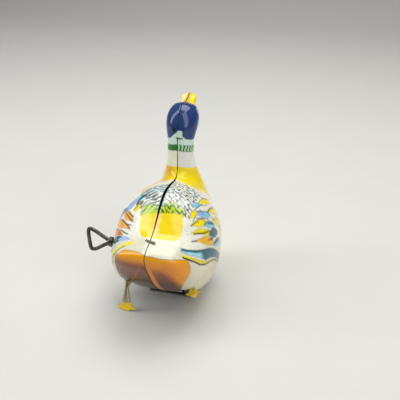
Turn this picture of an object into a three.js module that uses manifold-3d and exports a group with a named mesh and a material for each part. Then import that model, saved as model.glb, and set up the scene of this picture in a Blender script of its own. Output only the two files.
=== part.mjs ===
// Wind-up hopping duck in pressed tinplate: two shell halves over a spring motor that
// turns a crank, and two channel legs that the crank pins drive against the floor.
// Millimetres. +Z up, +Y towards the bill, +X to the duck's right. The origin is the
// middle of the base plate's underside, which is what the toy stands on.
import * as THREE from "three";
import { mergeVertices } from "three/addons/utils/BufferGeometryUtils.js";
import Module from "manifold-3d";

const wasm = await Module();
wasm.setup();

// ---------------------------------------------------------------- driving dimensions
const TAIL = 34;              // distance from the tail tip to the origin
const TIN = 0.5;              // shell sheet
const SEAM_GAP = 0.12;        // between the two halves
const BACK_GAP = 0.95;        // the sprung-open part of the back seam, at its widest
const RING_SIDES = 36;        // facets round a shell section
const OUTER_STEPS = 2;        // rings per station on the outer face
const INNER_STEPS = 1;        // and on the inner face

// One line per section of the body, from tail to bill:
// back point (along, up), belly point (along, up), half width, height of the widest
// line as a share of the section, roundness of the upper and of the lower half.
const STATIONS = [
  [0.3, 35.9, 0.3, 34.3, 4.5, 0.5, 2.0, 2.0],
  [0.8, 36.9, 1.0, 32.0, 8.8, 0.5, 2.0, 2.2],
  [2.3, 37.7, 2.5, 29.0, 12.2, 0.5, 2.2, 2.5],
  [4.8, 38.5, 5.0, 25.0, 14.8, 0.5, 2.2, 2.9],
  [8.2, 39.5, 8.4, 19.6, 16.8, 0.5, 2.3, 3.2],
  [12.0, 41.0, 12.2, 14.8, 18.3, 0.51, 2.3, 3.4],
  [16.5, 44.0, 16.5, 10.4, 19.6, 0.53, 2.2, 3.4],
  [21.5, 47.6, 21.5, 6.4, 20.6, 0.53, 2.2, 3.1],
  [27.0, 50.0, 27.5, 3.2, 21.4, 0.53, 2.2, 2.8],
  [32.5, 50.4, 34.0, 1.6, 21.6, 0.53, 2.2, 2.6],
  [37.5, 49.8, 41.5, 1.6, 21.0, 0.52, 2.15, 2.4],
  [41.3, 49.2, 49.5, 4.4, 19.4, 0.53, 2.0, 2.2],
  [43.8, 49.5, 56.5, 11.2, 16.8, 0.57, 1.85, 2.1],
  [45.1, 50.5, 61.0, 20.5, 13.8, 0.62, 1.75, 2.0],
  [45.8, 51.8, 62.4, 30.0, 10.8, 0.62, 1.7, 2.0],
  [46.1, 53.4, 61.2, 39.5, 8.4, 0.58, 1.75, 2.0],
  [46.3, 55.6, 58.9, 47.5, 6.7, 0.53, 1.85, 2.0],
  [46.4, 58.4, 57.1, 54.0, 5.8, 0.5, 2.0, 2.0],
  [46.5, 61.4, 56.7, 59.5, 5.6, 0.5, 2.0, 2.0],
  [46.8, 64.4, 57.3, 63.6, 5.7, 0.5, 2.0, 2.0],
  [46.9, 67.4, 59.5, 66.4, 6.3, 0.5, 2.0, 2.0],
  [47.6, 71.2, 61.4, 68.4, 6.8, 0.5, 2.0, 2.0],
  [49.3, 74.6, 62.8, 70.0, 6.8, 0.5, 2.0, 2.0],
  [52.1, 77.1, 63.8, 71.6, 6.1, 0.5, 2.0, 2.0],
  [55.5, 78.3, 64.4, 73.0, 5.0, 0.5, 2.0, 2.0],
  [58.6, 77.9, 65.2, 74.0, 3.7, 0.5, 2.0, 2.0],
  [61.6, 77.9, 66.4, 75.2, 3.2, 0.5, 2.2, 2.2],
  [64.6, 78.6, 67.6, 76.6, 3.3, 0.5, 2.4, 2.4],
  [66.4, 79.1, 68.1, 77.6, 2.8, 0.5, 2.3, 2.3],
  [67.4, 79.2, 68.2, 78.5, 1.5, 0.5, 2.0, 2.0],
];

const PLATE_X = 8.0;          // middle of each motor side plate
const PLATE = 0.8;            // motor sheet
const BASE_FROM = -6;         // base plate, along
const BASE_TO = 12;
const BASE_WIDE = 16.8;       // base plate, across
const RUN = 0.06;             // running clearance on a radius
const SLIP = 0.03;            // clearance of a wheel on its own shaft

const MODULE = 0.5;           // gear teeth
const PRESSURE = 25 * Math.PI / 180;
const BACKLASH = 0.14;
const GREAT_TEETH = 38;
const SECOND_TEETH = 34;
const PINION_TEETH = 12;
const MESH_SLACK = 0.06;      // added to each centre distance

const ARBOR = { y: 20.5 - TAIL, z: 28.0 };
const CRANK = { y: 18.5 - TAIL, z: 15.5 };
const ARBOR_R = 1.1;
const SHAFT_R = 0.8;
const THROW = 3.0;            // crank pin circle
const CRANK_PHASE = 20 * Math.PI / 180;
const PIN_R = 0.7;

const LEG_X = 12.8;           // middle of each leg
const LEG_LONG = 14.7;        // crank pin to the tips of the toes
const LEG_WIDE = 2.6;         // channel at the crank end
const LEG_WAIST = 1.35;       // channel where it leaves the body
const LEG_WIDE_LOW = 3.3;     // channel at the ankle
const LEG_JOG = 0.8;          // how far the left leg is cranked outwards below its pin
const JOG_FROM = -1.5;        // height where the crank outwards begins, pin at 0
const JOG_TO = -4.6;
const TOE_FOLD = 62 * Math.PI / 180;        // outer toe of the right foot, bent forwards
const LEG_DEEP = 1.9;
const LEG_TIN = 0.45;
const FOOT_WIDE = 8.2;
const FOOT_LONG = 4.3;
const LEG_BACK = 17.4 * Math.PI / 180;      // left leg, swept back
const LEG_FORTH = 12.0 * Math.PI / 180;     // right leg, swept forward

const KEY_WIRE = 0.8;         // radius
const KEY_INNER_X = -22.6;    // where the loop's two ends meet
const KEY_OUTER_X = -32.2;
const KEY_HALF = 5.6;         // half height of the loop

// ---------------------------------------------------------------- finishes
const finish = (color, roughness, metalness) =>
  new THREE.MeshStandardMaterial({ color, roughness, metalness });
const paint = () => finish("#e8e2cd", 0.3, 0.05);
const steel = () => finish("#8d8d8a", 0.4, 0.9);
const springSteel = () => finish("#5f6670", 0.35, 0.9);
const brass = () => finish("#b9963f", 0.35, 0.9);
const yellowPaint = () => finish("#d9ae1f", 0.3, 0.05);
const wireSteel = () => finish("#77756f", 0.35, 0.9);

// ---------------------------------------------------------------- solid helpers
function toSolid(geometry) {
  const g = geometry.clone();
  g.deleteAttribute("normal");
  g.deleteAttribute("uv");
  const merged = mergeVertices(g, 1e-5);
  const mesh = new wasm.Mesh({
    numProp: 3,
    vertProperties: new Float32Array(merged.attributes.position.array),
    triVerts: new Uint32Array(merged.index.array),
  });
  return new wasm.Manifold(mesh);
}

function toGeometry(solid) {
  const mesh = solid.getMesh();
  const g = new THREE.BufferGeometry();
  g.setAttribute("position", new THREE.BufferAttribute(new Float32Array(mesh.vertProperties), 3));
  g.setIndex(new THREE.BufferAttribute(new Uint32Array(mesh.triVerts), 1));
  g.computeVertexNormals();
  return g;
}

const join = (first, ...rest) =>
  toGeometry(rest.reduce((sum, g) => sum.add(toSolid(g)), toSolid(first)));
const cut = (first, ...rest) =>
  toGeometry(rest.reduce((left, g) => left.subtract(toSolid(g)), toSolid(first)));
const keep = (first, second) => toGeometry(toSolid(first).intersect(toSolid(second)));

function box(x0, x1, y0, y1, z0, z1) {
  const g = new THREE.BoxGeometry(x1 - x0, y1 - y0, z1 - z0);
  return g.translate((x0 + x1) / 2, (y0 + y1) / 2, (z0 + z1) / 2);
}

// A flat outline drawn in (y, z) and given a thickness from x0 to x1.
function slab(outline, x0, x1, holes = []) {
  const shape = new THREE.Shape(outline.map(([y, z]) => new THREE.Vector2(y, z)));
  for (const hole of holes) shape.holes.push(hole);
  const g = new THREE.ExtrudeGeometry(shape, { depth: x1 - x0, bevelEnabled: false, curveSegments: 12 });
  const axes = new THREE.Matrix4().makeBasis(
    new THREE.Vector3(0, 1, 0), new THREE.Vector3(0, 0, 1), new THREE.Vector3(1, 0, 0));
  return g.applyMatrix4(axes).translate(x0, 0, 0);
}

function roundHole(at, r, sides = 24) {
  const path = new THREE.Path();
  path.setFromPoints(circle(at, r, sides).map(([y, z]) => new THREE.Vector2(y, z)).reverse());
  return path;
}

function circle(at, r, sides = 24) {
  return Array.from({ length: sides }, (_, i) => {
    const a = (i / sides) * 2 * Math.PI;
    return [at.y + r * Math.cos(a), at.z + r * Math.sin(a)];
  });
}

const rod = (at, r, x0, x1, sides = 24) => slab(circle(at, r, sides), x0, x1);
const ring = (at, outer, inner, x0, x1, sides = 24) =>
  slab(circle(at, outer, sides), x0, x1, [roundHole(at, inner, sides)]);

// Keeps a span the right way round on either side of the duck.
const span = (side, a, b) => (side > 0 ? [a, b] : [-b, -a]);

function meshOf(name, geometry, material) {
  const m = new THREE.Mesh(geometry, material);
  m.name = name;
  return m;
}

// ---------------------------------------------------------------- shell
// Values between two stations, on a curve through their neighbours.
function between(rows, at) {
  const i = Math.min(Math.floor(at), rows.length - 2);
  const t = at - i;
  const pick = (k) => rows[Math.max(0, Math.min(rows.length - 1, k))];
  const [a, b, c, d] = [pick(i - 1), pick(i), pick(i + 1), pick(i + 2)];
  return b.map((_, k) => 0.5 * (2 * b[k] + (c[k] - a[k]) * t
    + (2 * a[k] - 5 * b[k] + 4 * c[k] - d[k]) * t * t
    + (3 * b[k] - a[k] - 3 * c[k] + d[k]) * t * t * t));
}

// One closed section, inset by the sheet when it is the inside of the shell.
function section(row, inset) {
  const [backY, backZ, bellyY, bellyZ, half, waist, upper, lower] = row;
  const length = Math.hypot(backY - bellyY, backZ - bellyZ);
  const uy = (backY - bellyY) / length;
  const uz = (backZ - bellyZ) / length;
  const up = Math.max(0.1, length * waist - inset);
  const down = Math.max(0.1, length * (1 - waist) - inset);
  const wide = Math.max(0.1, half - inset);
  const middle = { y: backY - uy * length * waist - TAIL, z: backZ - uz * length * waist };
  return Array.from({ length: RING_SIDES }, (_, i) => {
    const a = (i / RING_SIDES) * 2 * Math.PI;
    const power = 2 / (Math.cos(a) > 0 ? upper : lower);
    const rise = Math.sign(Math.cos(a)) * Math.abs(Math.cos(a)) ** power;
    const side = Math.sign(Math.sin(a)) * Math.abs(Math.sin(a)) ** power;
    const reach = rise > 0 ? up : down;
    return [wide * side, middle.y + uy * rise * reach, middle.z + uz * rise * reach];
  });
}

// The whole duck as one closed skin, stopping short at both ends when it is inset.
function skin(inset) {
  const last = STATIONS.length - 1;
  const from = inset > 0 ? 0.5 : 0;
  const to = inset > 0 ? last - 0.6 : last;
  const count = Math.round((to - from) * (inset > 0 ? INNER_STEPS : OUTER_STEPS)) + 1;
  const positions = [];
  const faces = [];
  for (let k = 0; k < count; k += 1) {
    const at = from + ((to - from) * k) / (count - 1);
    positions.push(...section(between(STATIONS, at), inset).flat());
  }
  for (let k = 0; k + 1 < count; k += 1) {
    for (let i = 0; i < RING_SIDES; i += 1) {
      const j = (i + 1) % RING_SIDES;
      const [a, b] = [k * RING_SIDES + i, k * RING_SIDES + j];
      const [c, d] = [a + RING_SIDES, b + RING_SIDES];
      faces.push(a, b, c, b, d, c);
    }
  }
  for (const [k, front] of [[0, false], [count - 1, true]]) {
    const ringStart = k * RING_SIDES;
    const hub = positions.length / 3;
    const points = Array.from({ length: RING_SIDES }, (_, i) =>
      positions.slice((ringStart + i) * 3, (ringStart + i) * 3 + 3));
    for (let axis = 0; axis < 3; axis += 1) {
      positions.push(points.reduce((sum, p) => sum + p[axis], 0) / RING_SIDES);
    }
    for (let i = 0; i < RING_SIDES; i += 1) {
      const j = (i + 1) % RING_SIDES;
      const [a, b] = [ringStart + i, ringStart + j];
      faces.push(...(front ? [hub, a, b] : [hub, b, a]));
    }
  }
  const g = new THREE.BufferGeometry();
  g.setAttribute("position", new THREE.BufferAttribute(new Float32Array(positions), 3));
  g.setIndex(faces);
  return g;
}

// The wedge where the back seam has sprung open, from the saddle to the base of the neck.
function backWedge() {
  const points = [[-21.5, 0.02], [-12, 0.5], [-2, BACK_GAP / 2], [5, 0.4], [10.4, 0.02]];
  const shape = new THREE.Shape([
    ...points.map(([y, x]) => new THREE.Vector2(x, y)),
    ...points.slice().reverse().map(([y, x]) => new THREE.Vector2(-x, y)),
  ]);
  const g = new THREE.ExtrudeGeometry(shape, { depth: 30, bevelEnabled: false });
  return g.translate(0, 0, 30);
}

function bellyCuts() {
  const legSlot = (side) => box(...span(side, 10, 15.9), 12.9 - TAIL, 27.5 - TAIL, -1, 17);
  return [box(-10.2, 10.2, 16.4 - TAIL, 46.5 - TAIL, -1, 12), legSlot(-1), legSlot(1)];
}

// Half of the shell: side is -1 for the left and 1 for the right.
function shellHalf(hollow, side) {
  const near = SEAM_GAP / 2;
  const half = side < 0 ? box(-40, -near, -50, 50, -5, 95) : box(near, 40, -50, 50, -5, 95);
  return keep(hollow, half);
}

// A locking tab: it rises beside the seam on its own side and is bent flat over the other.
function tab(side, y, z, lean, long, wide) {
  const leaf = box(-wide / 2, wide / 2, -long / 2, long / 2, 0.12, 0.5);
  const [x0, x1] = span(side, SEAM_GAP / 2, wide / 2);
  const root = box(x0, x1, -long / 2, long / 2, -0.4, 0.3);
  return join(leaf, root).rotateX(lean).translate(0, y, z);
}

function shells() {
  const hollow = cut(skin(0), skin(TIN), backWedge(), ...bellyCuts());
  const keyHole = rod(ARBOR, ARBOR_R + 0.9, -30, -10);
  const backTab = tab(1, 7.2 - TAIL, 39.2, 0.28, 1.0, 3.4);
  const napeTab = tab(-1, 46.95 - TAIL, 67.0, Math.PI / 2 - 0.1, 2.6, 2.4);
  const left = join(cut(shellHalf(hollow, -1), keyHole), napeTab);
  const right = join(shellHalf(hollow, 1), backTab);
  return [
    meshOf("body_shell_left", left, paint()),
    meshOf("body_shell_right", right, paint()),
  ];
}

// ---------------------------------------------------------------- gears
// Outline of an involute gear with a tooth centred on the angle turn.
function gearOutline(at, teeth, turn) {
  const pitch = (MODULE * teeth) / 2;
  const base = pitch * Math.cos(PRESSURE);
  const tip = pitch + 0.8 * MODULE;
  const root = pitch - 1.15 * MODULE;
  const involute = (r) => {
    const a = Math.acos(Math.min(1, base / r));
    return Math.tan(a) - a;
  };
  const half = (Math.PI / 2) / teeth - BACKLASH / 2 / pitch;
  const flank = [Math.max(base, root), pitch, tip].map((r) =>
    [r, half + involute(pitch) - involute(r)]);
  const outline = [];
  for (let i = 0; i < teeth; i += 1) {
    const centre = turn + (i / teeth) * 2 * Math.PI;
    const corner = base > root ? [[root, flank[0][1] + 0.02], ...flank] : flank;
    for (const [r, a] of corner) outline.push([r, centre - a]);
    for (const [r, a] of corner.slice().reverse()) outline.push([r, centre + a]);
  }
  return outline.map(([r, a]) => [at.y + r * Math.cos(a), at.z + r * Math.sin(a)]);
}

const centres = (a, b) => (MODULE * (a + b)) / 2 + MESH_SLACK;
const heading = (from, to) => Math.atan2(to.z - from.z, to.y - from.y);

// The second shaft stands in front of the line from arbor to crank, in mesh with both.
function secondCentre() {
  const r1 = centres(GREAT_TEETH, PINION_TEETH);
  const r2 = centres(SECOND_TEETH, PINION_TEETH);
  const apart = Math.hypot(CRANK.y - ARBOR.y, CRANK.z - ARBOR.z);
  const along = (r1 * r1 - r2 * r2 + apart * apart) / (2 * apart);
  const off = Math.sqrt(r1 * r1 - along * along);
  const uy = (CRANK.y - ARBOR.y) / apart;
  const uz = (CRANK.z - ARBOR.z) / apart;
  return { y: ARBOR.y + uy * along - uz * off, z: ARBOR.z + uz * along + uy * off };
}
const SECOND = secondCentre();

function gear(name, at, teeth, turn, bore, x0, x1) {
  const outline = gearOutline(at, teeth, turn);
  return meshOf(name, slab(outline, x0, x1, [roundHole(at, bore + SLIP)]), brass());
}

function gearTrain() {
  const toSecond = heading(ARBOR, SECOND);
  const toCrank = heading(SECOND, CRANK);
  const facing = (angle) => angle + Math.PI - Math.PI / PINION_TEETH;
  return [
    gear("great_wheel", ARBOR, GREAT_TEETH, toSecond, ARBOR_R, -3.4, -2.6),
    gear("second_pinion", SECOND, PINION_TEETH, facing(toSecond), SHAFT_R, -4.2, -1.8),
    gear("second_wheel", SECOND, SECOND_TEETH, toCrank, SHAFT_R, -6.4, -5.6),
    gear("crank_pinion", CRANK, PINION_TEETH, facing(toCrank), SHAFT_R, -7.2, -4.8),
  ];
}

// ---------------------------------------------------------------- motor
function sidePlate(name, side) {
  const x = side * PLATE_X;
  const outline = [
    [BASE_FROM + 0.4, PLATE + 0.02], [BASE_TO - 0.4, PLATE + 0.02],
    [11.6, 7.5], [4.6, 24.0], [-2.6, 39.2], [-8.5, 39.2], [-19.0, 35.0], [-22.4, 27.0], [-22.4, 16.6], [-17.8, 12.6], [-8.2, 7.0],
  ];
  const holes = [
    roundHole(ARBOR, ARBOR_R + RUN), roundHole(SECOND, SHAFT_R + RUN),
    roundHole(CRANK, SHAFT_R + RUN), ...PILLARS.map((p) => roundHole(p.at, 0.7 + SLIP)),
  ];
  return meshOf(name, slab(outline, x - PLATE / 2, x + PLATE / 2, holes), steel());
}

const PILLARS = [
  { name: "pillar_top", at: { y: -5.8, z: 37.0 } },
  { name: "pillar_rear", at: { y: -20.6, z: 17.8 } },
  { name: "pillar_front", at: { y: 8.6, z: 5.2 } },
];

// A spacer post with a thinner riveted end through each plate.
function pillar({ name, at }) {
  const inner = PLATE_X - PLATE / 2 - 0.03;
  const outer = PLATE_X + PLATE / 2 + 0.5;
  const post = join(rod(at, 1.2, -inner, inner, 16), rod(at, 0.7, -outer, outer));
  return meshOf(name, post, steel());
}

function basePlate() {
  const plate = box(-BASE_WIDE / 2, BASE_WIDE / 2, BASE_FROM, BASE_TO, 0, PLATE);
  return meshOf("base_plate", plate, steel());
}

// A spiral strip wound inwards round the arbor, its outer end by the top pillar.
function mainspring() {
  const turns = 5.3;
  const steps = Math.round(turns * 16);
  const thick = 0.3;
  const line = (offset) => Array.from({ length: steps + 1 }, (_, i) => {
    const t = i / steps;
    const r = 2.0 + (6.6 - 2.0) * t + offset;
    const a = 0.95 + turns * 2 * Math.PI * t;
    return [ARBOR.y + r * Math.cos(a), ARBOR.z + r * Math.sin(a)];
  });
  return meshOf("mainspring", slab([...line(0), ...line(thick).reverse()], -0.4, 5.6), springSteel());
}

function ratchet() {
  const teeth = 12;
  const outline = [];
  for (let i = 0; i < teeth; i += 1) {
    const a = (i / teeth) * 2 * Math.PI;
    const b = a + (0.92 / teeth) * 2 * Math.PI;
    outline.push([ARBOR.y + 2.8 * Math.cos(a), ARBOR.z + 2.8 * Math.sin(a)]);
    outline.push([ARBOR.y + 3.6 * Math.cos(b), ARBOR.z + 3.6 * Math.sin(b)]);
  }
  const wheel = slab(outline, -2.4, -1.6, [roundHole(ARBOR, ARBOR_R + SLIP)]);
  return meshOf("ratchet_wheel", wheel, steel());
}

const CLICK_PIVOT = { y: ARBOR.y - 2.2, z: ARBOR.z - 6.2 };

function clickParts() {
  const p = CLICK_PIVOT;
  const arm = [
    [p.y - 1.0, p.z - 0.9], [p.y + 0.9, p.z - 0.9], [p.y + 1.3, p.z + 0.6],
    [p.y + 3.1, p.z + 2.3], [p.y + 1.9, p.z + 2.1], [p.y - 0.2, p.z + 1.0], [p.y - 1.1, p.z + 0.6],
  ];
  const click = slab(arm, -2.4, -1.6, [roundHole(p, 0.45 + RUN, 16)]);
  const rivet = join(rod(p, 0.45, -2.55, -1.5, 16), rod(p, 0.8, -1.5, -1.2, 16));
  const wire = new THREE.CatmullRomCurve3([
    [4.2, -2.4], [3.4, -1.6], [2.6, -0.9], [2.55, 0.3],
  ].map(([y, z]) => new THREE.Vector3(-2.0, p.y + y, p.z + z)));
  return [
    meshOf("click", click, steel()),
    meshOf("click_rivet", rivet, brass()),
    meshOf("click_spring", sweep(wire, 0.2, 14, 8), springSteel()),
  ];
}

// A round wire along a curve, closed at both ends.
function sweep(curve, r, steps, sides) {
  const round = new THREE.Shape(Array.from({ length: sides }, (_, i) => {
    const a = (i / sides) * 2 * Math.PI;
    return new THREE.Vector2(r * Math.cos(a), r * Math.sin(a));
  }));
  return new THREE.ExtrudeGeometry(round, { steps, extrudePath: curve, bevelEnabled: false });
}

function shafts() {
  const end = PLATE_X + PLATE / 2 + 0.35;
  return [
    meshOf("winding_arbor", rod(ARBOR, ARBOR_R, KEY_INNER_X + 0.9, end), steel()),
    meshOf("second_shaft", rod(SECOND, SHAFT_R, -end, end), steel()),
    meshOf("crank_shaft", rod(CRANK, SHAFT_R, -PIN_FROM, PIN_FROM), steel()),
  ];
}

// ---------------------------------------------------------------- key
function keyParts() {
  const [near, far, half] = [KEY_INNER_X, KEY_OUTER_X, KEY_HALF];
  const bends = [
    [near, 0.95], [near - 1.6, 1.5], [-28.4, 4.6], [far + 2.6, half], [far + 0.7, half - 0.5],
    [far, half - 2.2], [far + 0.6, -half + 2.6], [far + 1.6, -half + 0.6], [far + 3.4, -half],
    [-28.0, -4.0], [near - 1.6, -1.5], [near, -0.95],
  ];
  const curve = new THREE.CatmullRomCurve3(
    bends.map(([x, z]) => new THREE.Vector3(x, ARBOR.y, ARBOR.z + z)), false, "centripetal");
  const ferrule = join(
    ring(ARBOR, 2.1, ARBOR_R + SLIP, near + 0.8, near + 1.8),
    rod(ARBOR, 2.1, near + 0.3, near + 0.8));
  return [
    meshOf("winding_key", sweep(curve, KEY_WIRE, 40, 10), wireSteel()),
    meshOf("key_ferrule", ferrule, wireSteel()),
  ];
}

// ---------------------------------------------------------------- cranks and legs
const ARM_FROM = 8.9;         // inner face of a crank arm
const PIN_FROM = 9.7;         // its outer face, where the pin begins
const PIN_TO = 14.9;

const pinAt = (side) => ({
  y: CRANK.y + side * THROW * Math.cos(CRANK_PHASE),
  z: CRANK.z + side * THROW * Math.sin(CRANK_PHASE),
});

function crank(name, side) {
  const pin = pinAt(side);
  const lean = heading(CRANK, pin);
  const arm = [];
  for (const [at, r, start] of [[pin, 1.2, -90], [CRANK, 1.5, 90]]) {
    for (let i = 0; i <= 8; i += 1) {
      const a = lean + ((start + (i / 8) * 180) * Math.PI) / 180;
      arm.push([at.y + r * Math.cos(a), at.z + r * Math.sin(a)]);
    }
  }
  const plate = slab(arm, ...span(side, ARM_FROM, PIN_FROM), [roundHole(CRANK, SHAFT_R + SLIP)]);
  const pinRod = rod(pin, PIN_R, ...span(side, PIN_FROM - 0.2, PIN_TO));
  return meshOf(name, join(plate, pinRod), steel());
}

function washer(name, side) {
  const pin = pinAt(side);
  const g = ring(pin, 1.25, PIN_R + SLIP, ...span(side, 14.3, 14.7), 20);
  return meshOf(name, g, brass());
}

// One stamping, drawn upright with the crank pin at its origin: a channel open to the
// rear that widens downwards, pierced for the pin, and a webbed foot spread below it.
function legStamping() {
  const top = 1.3;
  const ankle = -(LEG_LONG - FOOT_LONG);
  const web = (points, y0, y1) => {
    const shape = new THREE.Shape(points.map(([x, z]) => new THREE.Vector2(x, z)));
    const g = new THREE.ExtrudeGeometry(shape, { depth: y1 - y0, bevelEnabled: false });
    return g.rotateX(Math.PI / 2).translate(0, y1, 0);
  };
  const widths = [[top, LEG_WIDE], [JOG_FROM, LEG_WIDE], [JOG_TO, LEG_WAIST], [ankle, LEG_WIDE_LOW]];
  const outline = (less, past) => {
    const half = widths.map(([z, wide], i) => [
      wide / 2 - less, z + (i === 0 ? past : 0) - (i === widths.length - 1 ? past : 0)]);
    return [...half.map(([x, z]) => [-x, z]), ...half.reverse()];
  };
  const front = LEG_DEEP / 2;
  const channel = cut(
    web(outline(0, 0), -front, front),
    web(outline(LEG_TIN, 1), -front - 1, front - LEG_TIN),
    rod({ y: 0, z: 0 }, PIN_R + RUN, -5, 5));
  const side = [
    [0.2, -0.07], [0.23, 0.19], [0.31, 0.44], [0.5, 0.7],
    [0.38, 0.83], [0.25, 0.8], [0.13, 0.96],
  ];
  const edge = (sign) => side.map(([x, drop]) => [sign * x * FOOT_WIDE, ankle - drop * FOOT_LONG]);
  const foot = web([...edge(-1), [0, -LEG_LONG], ...edge(1).reverse()], front - LEG_TIN, front);
  return join(channel, foot);
}

// Cranks the leg outwards below its pin and folds its outer toe forwards.
function bendLeg(geometry, jog, fold) {
  const p = geometry.attributes.position;
  const ankle = LEG_LONG - FOOT_LONG;
  const front = LEG_DEEP / 2;
  for (let i = 0; i < p.count; i += 1) {
    const drop = -p.getZ(i);
    const [x, y] = [p.getX(i), p.getY(i) - front];
    const turn = x > 0 ? fold * Math.min(1, Math.max(0, (drop - ankle) / (0.6 * FOOT_LONG))) : 0;
    const out = jog * Math.min(1, Math.max(0, (drop + JOG_FROM) / (JOG_FROM - JOG_TO)));
    p.setX(i, x * Math.cos(turn) - y * Math.sin(turn) + out);
    p.setY(i, x * Math.sin(turn) + y * Math.cos(turn) + front);
  }
  return geometry;
}

function leg(name, side, lean, jog, fold) {
  const pin = pinAt(side);
  const g = bendLeg(legStamping(), jog, fold).rotateX(lean).translate(side * LEG_X, pin.y, pin.z);
  return meshOf(name, g, yellowPaint());
}

// ---------------------------------------------------------------- assembly
const group = new THREE.Group();
group.name = "hopping_duck";
group.add(
  ...shells(),
  basePlate(),
  sidePlate("motor_plate_left", -1),
  sidePlate("motor_plate_right", 1),
  ...PILLARS.map(pillar),
  ...shafts(),
  ...gearTrain(),
  mainspring(),
  ratchet(),
  ...clickParts(),
  ...keyParts(),
  crank("crank_left", -1),
  crank("crank_right", 1),
  washer("pin_washer_left", -1),
  washer("pin_washer_right", 1),
  leg("leg_left", -1, -LEG_BACK, -LEG_JOG, 0),
  leg("leg_right", 1, LEG_FORTH, 0, TOE_FOLD),
);

export default group;
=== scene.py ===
# %% [markdown]
# # A wind-up duck in printed tinplate
# The toy is two pressed tin halves, printed in flat inks before pressing, clenched round a
# small spring motor. Two channel legs hop it along and a wire key winds it. The packed
# frame gives the place of every part. This file gives each part its shape up close and its
# finish, then sets the toy on a pale table under soft lamps.

# %% Open the frame
import math
import bmesh
import bpy
import numpy as np
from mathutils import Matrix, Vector


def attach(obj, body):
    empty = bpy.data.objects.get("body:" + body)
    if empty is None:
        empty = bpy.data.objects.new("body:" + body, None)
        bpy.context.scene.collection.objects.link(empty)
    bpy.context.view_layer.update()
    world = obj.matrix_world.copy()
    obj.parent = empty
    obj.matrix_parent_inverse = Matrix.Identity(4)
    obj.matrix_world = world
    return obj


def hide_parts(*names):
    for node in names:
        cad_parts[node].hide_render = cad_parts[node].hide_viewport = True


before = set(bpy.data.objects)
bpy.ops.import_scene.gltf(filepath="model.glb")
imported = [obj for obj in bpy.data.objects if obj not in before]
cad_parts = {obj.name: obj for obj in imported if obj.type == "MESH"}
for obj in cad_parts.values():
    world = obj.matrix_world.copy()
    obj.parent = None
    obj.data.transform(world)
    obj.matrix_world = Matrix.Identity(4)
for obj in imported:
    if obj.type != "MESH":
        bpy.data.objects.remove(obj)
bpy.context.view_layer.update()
MM = 0.001
TAIL = 34.0     # the tail tip lies this far behind the middle of the base plate

# %% [markdown]
# ## Two helpers for finishes
# Inks and metals are written as hex codes, as a printer would note them. Shaders work in
# linear light, so one function converts them. Another adds a node with its settings and
# its links, so that each finish below reads as a short list.

# %% Helpers for inks and nodes
def ink(code):
    channels = [int(code[i:i + 2], 16) / 255 for i in (1, 3, 5)]
    return tuple(c / 12.92 if c <= 0.04045 else ((c + 0.055) / 1.055) ** 2.4
                 for c in channels) + (1.0,)


def add(tree, kind, inputs=None, **settings):
    node = tree.nodes.new(kind)
    for name, value in settings.items():
        setattr(node, name, value)
    for socket, value in (inputs or {}).items():
        if isinstance(value, bpy.types.NodeSocket):
            tree.links.new(value, node.inputs[socket])
        else:
            node.inputs[socket].default_value = value
    return node


def new_finish(name):
    finish = bpy.data.materials.new(name)
    finish.use_nodes = True
    tree = finish.node_tree
    tree.nodes.remove(tree.nodes["Principled BSDF"])
    return finish, tree, tree.nodes["Material Output"]


print("cream ink in linear light:", [round(c, 3) for c in ink("#efe9d2")])

# %% [markdown]
# ## The pressed body
# The body is one loft from tail to bill. Each section leans so that it crosses the back
# and the belly squarely, and is given by its back point, its belly point, its half width,
# how high its widest line lies and how square its two halves are. A smooth curve through
# the sections gives the press tool's shape. A loft was chosen over sculpting because the
# real tool is a few smooth sweeps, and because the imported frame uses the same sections.

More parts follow.
